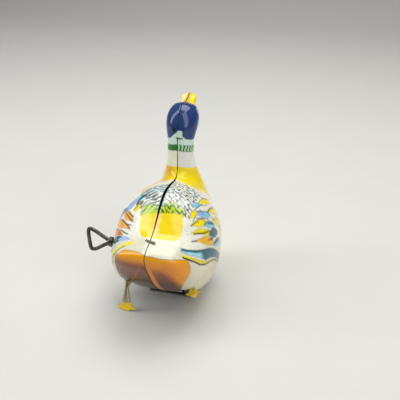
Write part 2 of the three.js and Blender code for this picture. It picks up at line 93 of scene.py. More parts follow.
# %% The sections from tail to bill
# back (along, up), belly (along, up), half width, widest line, squareness above and below
SECTIONS = np.array([
    [0.3, 35.9, 0.3, 34.3, 4.5, 0.50, 2.0, 2.0],
    [0.8, 36.9, 1.0, 32.0, 8.8, 0.50, 2.0, 2.2],
    [2.3, 37.7, 2.5, 29.0, 12.2, 0.50, 2.2, 2.5],
    [4.8, 38.5, 5.0, 25.0, 14.8, 0.50, 2.2, 2.9],
    [8.2, 39.5, 8.4, 19.6, 16.8, 0.50, 2.3, 3.2],
    [12.0, 41.0, 12.2, 14.8, 18.3, 0.51, 2.3, 3.4],
    [16.5, 44.0, 16.5, 10.4, 19.6, 0.53, 2.2, 3.4],
    [21.5, 47.6, 21.5, 6.4, 20.6, 0.53, 2.2, 3.1],
    [27.0, 50.0, 27.5, 3.2, 21.4, 0.53, 2.2, 2.8],
    [32.5, 50.4, 34.0, 1.6, 21.6, 0.53, 2.2, 2.6],
    [37.5, 49.8, 41.5, 1.6, 21.0, 0.52, 2.15, 2.4],
    [41.3, 49.2, 49.5, 4.4, 19.4, 0.53, 2.0, 2.2],
    [43.8, 49.5, 56.5, 11.2, 16.8, 0.57, 1.85, 2.1],
    [45.1, 50.5, 61.0, 20.5, 13.8, 0.62, 1.75, 2.0],
    [45.8, 51.8, 62.4, 30.0, 10.8, 0.62, 1.7, 2.0],
    [46.1, 53.4, 61.2, 39.5, 8.4, 0.58, 1.75, 2.0],
    [46.3, 55.6, 58.9, 47.5, 6.7, 0.53, 1.85, 2.0],
    [46.4, 58.4, 57.1, 54.0, 5.8, 0.50, 2.0, 2.0],
    [46.5, 61.4, 56.7, 59.5, 5.6, 0.50, 2.0, 2.0],
    [46.8, 64.4, 57.3, 63.6, 5.7, 0.50, 2.0, 2.0],
    [46.9, 67.4, 59.5, 66.4, 6.3, 0.50, 2.0, 2.0],
    [47.6, 71.2, 61.4, 68.4, 6.8, 0.50, 2.0, 2.0],
    [49.3, 74.6, 62.8, 70.0, 6.8, 0.50, 2.0, 2.0],
    [52.1, 77.1, 63.8, 71.6, 6.1, 0.50, 2.0, 2.0],
    [55.5, 78.3, 64.4, 73.0, 5.0, 0.50, 2.0, 2.0],
    [58.6, 77.9, 65.2, 74.0, 3.7, 0.50, 2.0, 2.0],
    [61.6, 77.9, 66.4, 75.2, 3.2, 0.50, 2.2, 2.2],
    [64.6, 78.6, 67.6, 76.6, 3.3, 0.50, 2.4, 2.4],
    [66.4, 79.1, 68.1, 77.6, 2.8, 0.50, 2.3, 2.3],
    [67.4, 79.2, 68.2, 78.5, 1.5, 0.50, 2.0, 2.0],
])
LAST = len(SECTIONS) - 1
print(len(SECTIONS), "sections")

# %% [markdown]
# ## The curve through the sections
# A cubic curve passes through every section and blends each of its measures, so the tin
# has no ridge where a section lies. The round of a section is a superellipse, an oval
# whose power says how square it is, because the real belly is flatter than its back.

# %% A smooth curve through the sections
def section_at(place):
    i = min(int(place), LAST - 1)
    before, here, after, beyond = (SECTIONS[max(0, min(LAST, i + k))] for k in (-1, 0, 1, 2))
    t = place - i
    return 0.5 * (2 * here + (after - before) * t
                  + (2 * before - 5 * here + 4 * after - beyond) * t * t
                  + (3 * here - before - 3 * after + beyond) * t ** 3)


def on_section(row, side, angle):
    """Points (side to side, along, up) of a section, from the back round to the belly."""
    back, belly = row[0:2], row[2:4]
    long = np.hypot(*(back - belly))
    up = (back - belly) / long
    waist = row[5] * long
    power = np.where(np.cos(angle) > 0, 2 / row[6], 2 / row[7])
    rise = np.sign(np.cos(angle)) * np.abs(np.cos(angle)) ** power
    rise = rise * np.where(rise > 0, waist, long - waist)
    centre = back - up * waist
    across = side * row[4] * np.abs(np.sin(angle)) ** power
    return np.stack([across, centre[0] + up[0] * rise, centre[1] + up[1] * rise], -1)


print("half way along:", section_at(LAST / 2).round(1))

# %% [markdown]
# ## The seam down the back
# The halves meet on the centre line, but the back has sprung open into a long narrow gap
# between the shoulders and the rump, as clenched tin does. Each half therefore starts a
# little off the centre line, by half the gap at that place.

# %% How far the halves stand apart
SEAM = 0.28            # mm, between the pressed edges
NECK_SEAM = 0.34       # mm, where the neck and head have sprung a little
SPRUNG = 1.15          # mm, the gap at its widest
GAP_FROM, GAP_TO = 12.5, 44.4
BACK_ABOVE, NECK_ABOVE = 36, 52     # mm above the table


def half_gap(along, up):
    share = np.clip((along - GAP_FROM) / (GAP_TO - GAP_FROM), 0, 1)
    open_by = np.where(up > BACK_ABOVE, np.sin(math.pi * share ** 1.15) ** 0.75, 0)
    rest = np.where(up > NECK_ABOVE, NECK_SEAM, SEAM)
    return (rest + (SPRUNG - rest) * open_by) / 2


gaps = [round(float(2 * half_gap(along, 45)), 2) for along in (10, 20, 30, 40)]
print("gap in mm along the back:", gaps)

# %% [markdown]
# ## The sheet as a fine net
# Printed detail on the real sheet is a third of a millimetre fine, so the net is about
# that fine where the wings and the back are printed, and coarser under the belly. Each
# point also keeps its place on the flat sheet, as the distance forward from the tail and
# the distance round from the back seam, because the print is laid out in those.

# %% Net of one half
ROWS, UPPER, LOWER = 300, 132, 34
UPPER_SHARE = 0.62                  # of the girth, where the net is fine
TIN = 0.5                           # mm of sheet
CAP_RINGS = (0.75, 0.45, 0.04)      # shrinking rings that close the tail and the bill
CROWDING = 0.8                      # how far the samples gather at the seam and the belly


def even_places(count):
    fine = np.linspace(0, LAST, LAST * 20 + 1)
    back = np.array([on_section(section_at(p), 1, np.array([0.3, 1.5])) for p in fine])
    step = np.linalg.norm(np.diff(back, axis=0), axis=-1).max(axis=1)
    run = np.concatenate([[0], np.cumsum(step)])
    return np.interp(np.linspace(0, run[-1], count), run, fine)


def half_net(side):
    shares = np.concatenate([np.linspace(0, UPPER_SHARE, UPPER, endpoint=False),
                             np.linspace(UPPER_SHARE, 1, LOWER + 1)])
    net, around = [], []
    for place in even_places(ROWS):
        row = section_at(place)
        start = float(half_gap(row[0], row[1])) / max(row[4], 0.5)
        end = SEAM / 2 / max(row[4], 0.5)
        first = math.asin(min(1, start ** (row[6] / 2)))
        last = math.pi - math.asin(min(1, end ** (row[7] / 2)))
        blend = np.linspace(0, 1, 361)
        crowded = blend - np.sin(2 * math.pi * blend) / (2 * math.pi) * CROWDING
        angle = first + (last - first) * crowded
        points = on_section(row, side, angle)
        run = np.concatenate([[0], np.cumsum(np.linalg.norm(np.diff(points, axis=0), axis=1))])
        net.append(np.stack([np.interp(shares * run[-1], run, points[:, k]) for k in range(3)], -1))
        around.append(shares * run[-1])
    net, around = np.array(net), np.array(around)
    caps = []
    for end_row, outward in ((net[0], -0.25), (net[-1], 0.0)):
        middle = end_row.mean(axis=0)
        middle[0] = side * SEAM / 2
        caps.append([(middle + (end_row - middle) * k + np.array([0, outward * (1 - k * k), 0]))
                     for k in CAP_RINGS])
    net = np.concatenate([np.array(caps[0][::-1]), net, np.array(caps[1])])
    extra = len(CAP_RINGS)
    around = np.concatenate([around[:1]] * extra + [around] + [around[-1:]] * extra)
    return net, around


LEFT, RIGHT = -1, 1
NETS = {side: half_net(side) for side in (LEFT, RIGHT)}
net, around = NETS[LEFT]
print("net of a half:", net.shape, "girth at the widest:", round(float(around.max()), 1), "mm")

# %% [markdown]
# ## The litho print
# The sheet was printed flat in solid inks with black line work, then pressed. Here every
# point of the net is given its ink, one layer over another as on the press: bands and
# patches first, then feathers, then black lines. This keeps the print on the sheet's own
# coordinates, so it wraps round the shape as the real one does. Drawing it with image
# textures would need a picture; drawing it with noise alone would lose the pattern.

# %% Printer's helpers
EDGE = 0.16            # mm, how softly an ink ends on the sheet


def within(distance):
    """1 inside a shape, 0 outside, from the distance in mm to its edge."""
    return np.clip(0.5 + distance / (2 * EDGE), 0, 1)


def lay(paint, cover, code):
    tone = np.array(ink(code)[:3])
    paint += (tone - paint) * np.clip(cover, 0, 1)[..., None]


def rounded(u, v, low_u, high_u, low_v, high_v, corner):
    du = np.abs(u - (low_u + high_u) / 2) - (high_u - low_u) / 2 + corner
    dv = np.abs(v - (low_v + high_v) / 2) - (high_v - low_v) / 2 + corner
    outside = np.hypot(np.maximum(du, 0), np.maximum(dv, 0))
    return corner - outside - np.minimum(np.maximum(du, dv), 0)


def leaf(u, v, root, tip, wide):
    """Distance in mm inside a pointed feather that lies from root to tip."""
    root, tip = np.array(root, float), np.array(tip, float)
    long = np.linalg.norm(tip - root)
    way = (tip - root) / long
    t = ((u - root[0]) * way[0] + (v - root[1]) * way[1]) / long
    off = -(u - root[0]) * way[1] + (v - root[1]) * way[0]
    half = wide / 2 * np.sin(math.pi * np.clip(t, 0, 1) ** 1.2) ** 0.9
    return np.where((t > 0) & (t < 1), half - np.abs(off), -1.0)


def stroke(u, v, points, thick):
    """Distance in mm inside a pen stroke through the points."""
    best = np.full(u.shape, 9.0)
    for (u0, v0), (u1, v1) in zip(points, points[1:]):
        long2 = (u1 - u0) ** 2 + (v1 - v0) ** 2
        t = np.clip(((u - u0) * (u1 - u0) + (v - v0) * (v1 - v0)) / long2, 0, 1)
        best = np.minimum(best, np.hypot(u - u0 - t * (u1 - u0), v - v0 - t * (v1 - v0)))
    return thick / 2 - best


def line_of(x, *knots):
    return np.interp(x, [k[0] for k in knots], [k[1] for k in knots])


middle = leaf(np.array([5.0]), np.array([0.0]), (0, 0), (10, 0), 2)
print("a feather 2 mm wide covers its middle by", middle.round(2), "mm")

# %% [markdown]
# ## Inks
# The press lays few inks: cream, white, yellow, orange, blue, green and a dark line
# colour. Tints and overlaps of them make the rest. Each name is a colour as it looks on
# the sheet, with varnish over it, and the two halves were not inked quite alike.

# %% Inks by name
CREAM, WHITE, TAIL_CREAM = "#e2dbbb", "#f0eee0", "#d9d5bb"
COOL_GREY, PALE_STRAW, STRAW = "#b4c4c6", "#e6e0a8", "#f4d77a"
YELLOW, WARM_YELLOW, SADDLE_YELLOW = "#f4e00c", "#fade0c", "#eed206"
GOLD, PALE_GOLD, BILL_CREAM, TAN = "#f0b80c", "#e6d488", "#f2e8a4", "#d99a3a"
PEACH, ORANGE, AMBER, BRIGHT_AMBER = "#f4b050", "#dc7400", "#e48400", "#f2a204"
# The two browns on this line are painted shade for the underside of the rump, not inks of the sheet.
PAINTED_SHADE_BROWN, PAINTED_SHADE_UMBER = "#6c2800", "#2c1000"
NAVY, MINT, GREEN, PALE_GREEN, LIME = "#1b3870", "#d3ecdf", "#127015", "#bfe0c0", "#b4cf28"
TEAL, SKY, PALE_SKY, SHADE_BLUE, MIST = "#075f70", "#86cbe0", "#a4daea", "#7db4d8", "#7fb3bd"
LILAC, NECK_WHITE, NECK_LILAC = "#a3b2de", "#eff4da", "#e6e4f4"
LINE, SCALLOP_GREY, JET, EYE_BLACK = "#141a16", "#7d98a0", "#0b0e12", "#101418"
print("dark line in linear light:", [round(c, 4) for c in ink(LINE)])

# %% [markdown]
# ## Head and neck
# Rings of colour run round the neck: white, green, mint, then the blue of the head. They
# were printed as straight bands and dip a little as the sheet wraps round, so a band's
# height grows with the distance from the back seam. On the right the green is streaked.

# %% Bands of the head and neck
WHITE_FROM, GREEN_FROM, MINT_FROM = 53.5, 60.6, 63.4     # mm above the table
DIP = 0.19                                               # of the distance from the seam


def print_neck(paint, along, up, across):
    away = np.abs(across)
    height = up + DIP * away
    lay(paint, within(height - WHITE_FROM), NECK_WHITE)
    lay(paint, within(height - WHITE_FROM) * np.where(across > 0, 0.55, 0.0), NECK_LILAC)
    lay(paint, within(height - GREEN_FROM), GREEN)
    streaks = np.sin(across * 4.3 + 0.8 * np.sin(up * 2.1)) > 0.1
    pale_side = np.where((across > 0) & (height > 60.9) & (height < 63.2) & streaks, 1.0, 0.0)
    lay(paint, pale_side, PALE_GREEN)
    lay(paint, within(height - MINT_FROM), MINT)
    crown = line_of(away, (0, 68.6), (1.5, 67.6), (3.2, 66.3), (5, 65.9), (20, 66.0))
    lay(paint, within(height - crown), NAVY)
    notch = np.hypot((across + 1.3) / 0.8, (up - 69.4) / 1.0)
    lay(paint, within(0.9 * (1 - notch)) * (along < 52), JET)


print("neck bands at", WHITE_FROM, GREEN_FROM, MINT_FROM, "mm above the table")

# %% [markdown]
# ## Breast and shoulders
# The breast, throat and shoulders are one field of yellow, lemon on the right half and
# gold going to tan on the left. It is one shape with an edge given as a line on the
# sheet, and each tint is laid over it with a soft cover, as a stippled plate would do.

# %% Breast, throat and shoulders in yellow
def print_front(paint, along, up, across):
    edge = np.where(
        across > 0,
        line_of(across, (0, 42.7), (5, 40.6), (9, 40.2), (12, 42), (15, 47.5), (20, 50), (60, 53)),
        line_of(-across, (0, 42.7), (4, 40.3), (6, 37), (8, 33), (10, 31), (14, 32), (20, 38), (60, 53)))
    front = within((along - edge) * 0.8)
    lay(paint, front, YELLOW)
    lay(paint, front * (across > 0), WARM_YELLOW)
    warm = np.clip((-across - 0.5) / 3, 0, 1) * np.clip((up - 45) / 5, 0, 1)
    lay(paint, front * warm, GOLD)
    tan = np.clip((-across - 4) / 4, 0, 1) * np.clip((50 - up) / 2, 0, 1)
    lay(paint, front * tan * 0.9, PALE_GOLD)
    lay(paint, front * np.clip((36 - up) / 10, 0, 1), GOLD)
    lay(paint, front * np.clip((22 - up) / 8, 0, 1), CREAM)


print("yellow starts 40 to 43 mm from the tail on the back")

# %% [markdown]
# ## The rump
# The rump is amber, with light and shade painted into its print: painted shade turns it dark
# brown below, where it faces down, a painted highlight of gold lies along its top, a painted highlight
# runs down a fold left of the seam, and on the right a bright strip stays along the seam beside a
# painted fold shadow. All of it is laid by height and by distance from the seam over one amber field.

# %% The rump
RUMP_TOP = 38.5        # mm above the table


def print_rump(paint, along, up, across, x):
    away = np.abs(across)
    edge = np.where(
        across > 0,
        line_of(away, (0, 0.9), (5.8, 0.9), (9.9, 2.0), (13.4, 4.2), (16.3, 6.4), (21, 6.8),
                (25, 6.7), (30, 7.8), (36, 9.9), (46, 14), (60, 20)),
        line_of(away, (0, 1.1), (2.1, 1.8), (5, 2.4), (7.3, 2.9), (9.3, 3.0), (11, 2.2),
                (16, 2.9), (22, 5.0), (30, 8.4), (40, 14), (60, 20)))
    rump = within(edge - along) * np.where(up < RUMP_TOP, 1, 0)
    lay(paint, rump, AMBER)
    lay(paint, rump * np.clip((x - 9) / 6, 0, 1) * 0.8, BRIGHT_AMBER)
    # Painted highlight: gold along the rump's upper part, where the light falls on it.
    lay(paint, rump * np.clip((up - 32.5) / 3.5, 0, 1) * 0.45, GOLD)
    # Painted shade: the rump darkens towards the bottom, where it faces down away from the lamps.
    painted_low_shade = np.where(x > 0, np.clip((32.5 - up) / 5, 0, 1), np.clip((34.6 - up) / 3, 0, 1))
    # Painted fold shadow: on the right the shade lies in a band a little off the seam, so a bright strip
    # stays beside it; on the left it covers the whole rump.
    beside_seam = np.clip((x - 1.2 - 0.05 * (34 - up)) / 0.8, 0, 1)
    far_right = 1 - np.clip((x - 4.0 - 0.35 * (34 - up)) / 4, 0, 1)
    shade = np.where(x > 0, beside_seam * far_right * 0.9, 1.0)
    # Brown, then umber lower down, lay the painted shade.
    lay(paint, rump * painted_low_shade * shade * 0.9, PAINTED_SHADE_BROWN)
    lay(paint, rump * np.clip((28 - up) / 9, 0, 1) * shade * 0.85, PAINTED_SHADE_UMBER)
    # Painted highlight: a thin bright streak down a fold left of the seam.
    painted_fold_highlight = np.clip(1 - np.abs(x + 0.8 + 0.52 * (34 - up)) / 0.6, 0, 1)
    painted_fold_highlight = painted_fold_highlight * np.clip((33 - up) / 4, 0, 1) * (x < -0.6)
    lay(paint, rump * painted_fold_highlight * 0.38, AMBER)
    rim = within(0.12 - np.abs(along - edge)) * np.where((up < 38.4) & (up > 28), 1, 0)
    lay(paint, rim * 0.7, LINE)


print("the rump is printed up to", RUMP_TOP, "mm above the table")

# %% [markdown]
# ## The back
# Between the shoulders lies a net of dark pen strokes for small feathers, then lime green,
# then a yellow saddle. The strokes are two families of wavy lines, 1.45 and 1.9 mm
# apart. Both are broken, and the pen presses harder in some places than in others.

# %% Net of small feathers, lime and saddle
FIRST_STEP, SECOND_STEP = 1.45, 1.9     # mm between the lines of each family


def print_back(paint, along, across):
    right, left = (across > 0.3) & (across < 12.6), (across < -0.3) & (across > -10.5)
    front = np.where(across > 0,
                     line_of(across, (0, 41), (5, 39.5), (12, 37)),
                     line_of(-across, (0, 36), (6, 33), (10, 30)))
    rear = np.where(across > 0, 20.3, 20.6)
    field = within(np.minimum(along - rear, front - along)) * (right | left)
    misted = np.where(across < -1.5, 0.34, 0.06) * np.clip((along - 22) / 4, 0, 1)
    lay(paint, field * misted, MIST)
    ragged = 0.35 * np.sin(across * 3.1) + 0.2 * np.sin(across * 7.3 + 1)
    lime_front = np.where(across > 0,
                          23.7 - 0.07 * (across - 4.6) ** 2,
                          21.9 - 0.06 * (across + 3.5) ** 2)
    lime = within(np.minimum(along - 17.8, lime_front + ragged - along) * 0.7)
    lime = lime * ((across > 0) & (across < 9.9) | (across < 0) & (across > -7.2))
    lay(paint, lime, LIME)
    cool = np.sin(along * 1.3 + across * 0.9) * np.sin(across * 1.1 - along * 0.7 + 0.6)
    lay(paint, field * np.clip(cool * 1.6 - 0.3, 0, 0.45), SHADE_BLUE)
    wobble = 0.22 * np.sin(along * 0.9 + across * 0.5) + 0.12 * np.sin(across * 1.9 - along * 0.8)
    lean = np.where(across > 0, 0.56, -0.34)
    first = (across * lean + along * 0.86 + wobble) / FIRST_STEP
    second = (across * 0.88 - along * 0.42 + wobble * 1.2) / SECOND_STEP
    first_gap = np.abs(first - np.round(first)) * FIRST_STEP
    second_gap = np.abs(second - np.round(second)) * SECOND_STEP
    tick = np.sin(first * math.pi + np.round(second) * 2.4) > 0.0
    dash = np.sin(second * math.pi * 0.8 + np.round(first) * 2.1) > -0.75
    press = 0.25 + 0.08 * np.sin(second * 2.3 + np.round(first) * 1.9)
    pen = np.maximum(within(press - first_gap) * dash, within(press - second_gap) * tick)
    field_and_lime = np.maximum(field, lime * (right | left) * (np.abs(across) < 9.6))
    lay(paint, pen * field_and_lime * 0.92, LINE)
    print_saddle(paint, along, across)


def print_saddle(paint, along, across):
    left_edge = line_of(along, (9.0, -2.6), (10.0, -4.4), (12, -5.5), (14.2, -6.2),
                        (18.1, -6.7), (20, -6.4))
    right_edge = line_of(along, (9.2, 4.0), (10.0, 8.6), (11.4, 10.0), (13.1, 10.7),
                         (17.3, 10.5), (19.6, 9.6), (20.8, 8.4))
    front_edge = line_of(across, (-6.6, 18.0), (0, 18.6), (8.9, 20.3))
    sideways = np.minimum(across - left_edge, right_edge - across)
    saddle = np.minimum(sideways, np.minimum(along - 9.1, front_edge - along))
    lay(paint, within(saddle), SADDLE_YELLOW)
    beside_gap = within(np.minimum(across + 0.5, 1.5 - across))
    lay(paint, within(saddle) * beside_gap * 0.9, STRAW)


print("lines every", FIRST_STEP, "and", SECOND_STEP, "mm")

# %% [markdown]
# ## The wings
# Each wing is a fan of pointed feathers with black outlines, laid from the saddle outwards
# and forward. A feather is a root, a tip, a width and an ink, so the lists below read like
# the plate maker's. The two wings were drawn by hand and don't match. Below the feathers
# each wing has a blue bar, a yellow band and dark pen lines that follow its edge.

# %% Feathers, strokes and their inks
# root (along, round), tip (along, round), width, ink, outline
RIGHT_WING = [
    ((25.6, 11.9), (30.8, 14.8), 2.4, SKY, 0.4), ((24.0, 14.2), (28.2, 19.0), 2.9, LILAC, 0.5),
    ((26.2, 17.0), (31.4, 21.2), 2.7, SKY, 0.4), ((29.2, 13.7), (41.6, 18.2), 3.0, YELLOW, 0.8),
    ((30.6, 19.0), (46.5, 25.4), 4.2, YELLOW, 1.0), ((20.8, 12.4), (25.6, 14.5), 2.3, YELLOW, 0.5),
    ((30.6, 23.6), (41.2, 29.2), 3.9, YELLOW, 0.9), ((18.6, 13.5), (26.0, 20.9), 2.5, YELLOW, 0.7),
    ((23.4, 19.6), (30.8, 25.9), 2.7, SKY, 0.8), ((25.4, 20.7), (31.2, 25.6), 1.0, TEAL, 0.0),
    ((16.2, 14.2), (23.4, 22.4), 1.7, YELLOW, 0.3), ((20.0, 19.8), (26.0, 25.8), 2.1, YELLOW, 0.3),
    ((23.4, 24.4), (32.2, 30.0), 3.8, TEAL, 1.0), ((15.6, 17.2), (27.4, 32.6), 2.7, GOLD, 0.4),
    ((36.0, 28.4), (41.0, 35.0), 2.8, ORANGE, 0.2), ((24.4, 30.6), (34.4, 35.6), 2.9, SKY, 0.6),
    ((24.8, 30.2), (33.4, 33.6), 1.7, TEAL, 0.8), ((42.0, 22.8), (50.0, 28.6), 2.6, ORANGE, 0.6),
    ((41.0, 28.6), (48.0, 34.0), 2.8, GOLD, 0.6), ((34.0, 36.0), (43.0, 43.0), 3.0, SKY, 0.6),
]
RIGHT_PEN = [
    ([(35.3, 12.2), (35.2, 13.7), (39.6, 16.5)], 0.36), ([(30.0, 15.3), (33.8, 17.6)], 0.28),
    ([(25.2, 13.3), (28.0, 14.3), (31.3, 15.5)], 0.36), ([(22.8, 15.1), (24.3, 17.2), (28.2, 21.0)], 0.40),
    ([(25.2, 14.4), (27.5, 16.6), (30.4, 19.0)], 0.26), ([(25.2, 19.6), (23.6, 20.6)], 0.34),
    ([(18.7, 13.7), (22.6, 16.6)], 0.30), ([(17.2, 15.8), (21.1, 21.0), (25.4, 24.4)], 0.50),
    ([(23.6, 26.4), (25.4, 28.0)], 0.75), ([(21.6, 24.9), (24.9, 27.5)], 0.42),
    ([(14.2, 15.7), (16.2, 18.2)], 0.45), ([(30.7, 19.3), (34.8, 19.6), (39.0, 21.3)], 0.40),
    ([(30.6, 19.6), (31.4, 22.4), (33.6, 25.0)], 0.40), ([(20.6, 14.1), (23.8, 14.6)], 0.30),
]
LEFT_WING = [
    ((26.4, -7.0), (24.6, -13.0), 3.0, TEAL, 0.2), ((26.8, -8.8), (24.8, -13.6), 1.6, SKY, 0.0),
    ((25.4, -9.6), (22.9, -17.0), 4.2, LILAC, 0.3), ((24.0, -14.2), (24.4, -20.0), 2.4, SKY, 0.0),
    ((23.6, -15.6), (25.0, -25.6), 4.6, TEAL, 0.2), ((22.3, -7.9), (20.2, -11.0), 2.3, YELLOW, 0.5),
    ((16.0, -9.4), (22.6, -17.2), 2.5, PEACH, 0.7), ((12.8, -9.8), (23.6, -24.4), 2.5, PEACH, 0.6),
    ((11.2, -12.6), (20.6, -25.4), 2.6, ORANGE, 0.4), ((14.0, -23.0), (24.0, -33.0), 3.0, PEACH, 0.9),
    ((29.0, -15.0), (39.0, -20.6), 2.8, YELLOW, 0.8), ((28.6, -20.0), (40.0, -26.6), 3.4, YELLOW, 0.9),
    ((29.6, -26.6), (40.0, -33.0), 3.2, ORANGE, 0.7), ((30.0, -33.0), (42.0, -41.0), 3.0, SKY, 0.6),
]
LEFT_PEN = [
    ([(22.9, -10.4), (22.4, -8.2)], 0.40), ([(20.8, -14.9), (16.3, -10.2)], 0.42),
    ([(20.4, -13.3), (18.0, -10.1)], 0.34), ([(19.5, -17.0), (16.1, -12.9), (14.7, -10.2)], 0.44),
    ([(16.1, -12.9), (13.6, -10.3)], 0.36), ([(14.8, -15.4), (12.7, -12.8), (11.1, -10.4)], 0.48),
    ([(20.6, -10.9), (21.8, -9.4)], 0.40), ([(24.6, -6.0), (26.6, -7.6), (27.4, -9.6)], 0.30),
]


def print_feathers(paint, along, across, feathers, pen):
    for root, tip, wide, code, outline in feathers:
        inside = leaf(along, across, root, tip, wide)
        lay(paint, within(inside), code)
        below = (along - root[0]) * (tip[1] - root[1]) - (across - root[1]) * (tip[0] - root[0])
        side = np.where(below * np.sign(tip[1]) > 0, 1.0, 0.45)
        lay(paint, within(0.16 - np.abs(inside)) * (inside > -0.9) * outline * side, LINE)
    for points, thick in pen:
        lay(paint, within(stroke(along, across, points, thick)) * 0.9, LINE)


def print_wing_edges(paint, along, across):
    right, left = across > 0, across < 0
    upper = line_of(across, (12, 8.6), (14.8, 9.9), (19.2, 13.3), (23.9, 17.6), (35.3, 27.6), (50, 42))
    lower = line_of(across, (12, 7.2), (15.8, 8.4), (19.2, 10.9), (24.5, 14.6), (28.4, 17.2),
                    (37.0, 25.6), (50, 38))
    vane = np.minimum(np.minimum(upper - along, along - lower), (across - 12.4)) * right - left
    lay(paint, within(vane), PALE_SKY)
    lay(paint, within(np.minimum(vane, 0.55 - np.abs(along - upper + 0.5))) * 0.9, TEAL)
    lay(paint, within(vane) * np.clip((along - 13.8) / 2.4, 0, 1), TEAL)
    lay(paint, within(0.2 - np.abs(along - upper + 0.1)) * (vane > -0.5) * right * 0.75, LINE)
    lay(paint, within(0.12 - np.abs(along - lower - 0.05)) * (vane > -0.5) * right * 0.6, NAVY)
    band_top = line_of(across, (13.5, 7.0), (15.9, 7.6), (19.7, 10.2), (27.6, 16.0),
                       (32.8, 20.3), (37.5, 25.4), (50, 38))
    band_low = line_of(across, (13.5, 5.8), (14.7, 6.0), (17.9, 7.8), (20.9, 9.9), (25.0, 12.6),
                       (29.1, 16.1), (33.0, 19.9), (37.7, 25.0), (50, 37))
    band = np.minimum(band_top - along, along - band_low) * right - left
    lay(paint, within(band + 0.15) * (across > 14.2), YELLOW)
    lay(paint, within(0.34 - np.abs(along - band_low)) * right * (across > 13.8), LINE)
    lay(paint, within(0.10 - np.abs(along - band_top)) * right * (across > 17) * 0.6, LINE)
    teal_left = leaf(along, across, (8.2, -8.0), (15.6, -31.0), 4.2)
    lay(paint, within(teal_left), TEAL)
    lay(paint, within(leaf(along, across, (8.3, -8.0), (10.4, -15.0), 2.4)), LILAC)
    left_stripe = [(6.3, -6.6), (6.0, -9.4), (5.2, -11.4), (4.2, -13.6), (6.0, -20.0),
                   (12.0, -30.0), (22.0, -42.0)]
    lay(paint, within(stroke(along, across, left_stripe, 1.25)), YELLOW)
    under_stripe = [(place - 0.85, out) for place, out in left_stripe[1:]]
    lay(paint, within(stroke(along, across, under_stripe, 0.42)), LINE)


print(len(RIGHT_WING), "feathers on the right wing,", len(LEFT_WING), "on the left")

# %% [markdown]
# ## Bill, eyes and small marks
# The bill is yellow, paler on its left and tan along its ridge. The eye is a plain black
# dot in a white ring. A few grey scallops run beside the saddle.

# %% Bill, eyes and marks
EYE_ALONG, EYE_UP = 58.2, 74.4      # mm from the tail, and above the table
EYE_RING, EYE_DOT = 1.45, 0.95      # mm, their radii


def print_head(paint, along, up, x):
    bill = within(along - (59.2 - 0.10 * np.abs(up - 76.5)))
    lay(paint, bill, YELLOW)
    lay(paint, bill * np.clip((-x + 0.4) / 0.8, 0, 1) * 0.75, BILL_CREAM)
    lay(paint, bill * within(1.1 - np.abs(x - 0.2)) * (up > 77) * 0.75, TAN)
    eye = np.hypot(along - EYE_ALONG, up - EYE_UP)
    on_side = np.abs(x) > 2
    lay(paint, within(EYE_RING - eye) * on_side, WHITE)
    lay(paint, within(EYE_DOT - eye) * on_side, EYE_BLACK)


def print_scallops(paint, along, across):
    beside = ((across < -7.4) & (across > -10.8) & (along > 8) & (along < 19)) | \
             ((across > 10.4) & (across < 12.4) & (along > 9) & (along < 20))
    row = np.round(across / 1.5)
    bow = (along + 0.7 * np.abs(across / 1.5 - row) * 2 + (row % 2) * 0.9) / 1.8
    arc = within(0.12 - np.abs(bow - np.round(bow)) * 1.8)
    lay(paint, arc * beside * 0.30, SCALLOP_GREY)


print("the eye stands", EYE_UP, "mm above the table")

# %% [markdown]
# ## The press run
# The inks go down in the order of the plates: ground, wing edges, breast, back, scallops,
# feathers, rump, neck, head. A fine stipple of grey and straw keeps the white ground from
# looking flat, as halftone dots do on the real sheet.

# %% All plates on both halves
def print_sheet(net, around, side):
    x, along, up = net[..., 0], net[..., 1], net[..., 2]
    across = side * around
    paint = np.empty(net.shape)
    paint[...] = ink(WHITE)[:3]
    lay(paint, np.clip((32 - up) / 10, 0, 1), CREAM)
    lay(paint, np.clip((10.5 - along) / 3, 0, 1) * 0.9, TAIL_CREAM)
    stipple = (np.sin(along * 4.1 + across * 2.3) * np.sin(across * 4.7 - along * 1.9 + 1.3)
               + np.sin(along * 2.2 - across * 3.1) * np.sin(across * 1.7 + along * 2.9))
    lay(paint, np.clip(stipple * 0.28, 0, 0.3), COOL_GREY)
    lay(paint, np.clip(-stipple * 0.3, 0, 0.3), PALE_STRAW)
    print_wing_edges(paint, along, across)
    print_front(paint, along, up, across)
    print_back(paint, along, across)
    print_scallops(paint, along, across)
    feathers, pen = (RIGHT_WING, RIGHT_PEN) if side == RIGHT else (LEFT_WING, LEFT_PEN)
    print_feathers(paint, along, across, feathers, pen)
    print_rump(paint, along, up, across, x)
    print_neck(paint, along, up, across)
    print_head(paint, along, up, x)
    return paint


PRINTS = {side: print_sheet(*NETS[side], side) for side in (LEFT, RIGHT)}
print("inks laid on", PRINTS[LEFT].shape[0] * PRINTS[LEFT].shape[1], "points of each half")

# %% [markdown]
# ## Making the halves
# Each net becomes a mesh with the print stored on its points. The belly opening, the two
# leg slots and the key's hole are cut through it, and a Solidify modifier gives the sheet
# its thickness, with bare tin inside and a darker finish along the cut edges.

# %% Cutting the belly open
OPENING = (10.2, 16.4, 46.5, 12.0)      # half width, from, to, up to
SLOT = (10.0, 15.9, 12.9, 27.5, 17.0)   # from, to across; from, to along; up to
KEY_AT, KEY_HOLE = (20.5, 28.0), 2.0    # along and up; radius
LOW_SHEET = 20                          # mm above the table, all cuts lie below this


def in_opening(x, along, up):
    reach = np.abs(x)
    belly = (reach < OPENING[0]) & (along > OPENING[1]) & (along < OPENING[2]) & (up < OPENING[3])
    slot = (reach > SLOT[0] - 0.01) & (reach < SLOT[1])
    slot = slot & (along > SLOT[2]) & (along < SLOT[3]) & (up < SLOT[4])
    return belly | slot


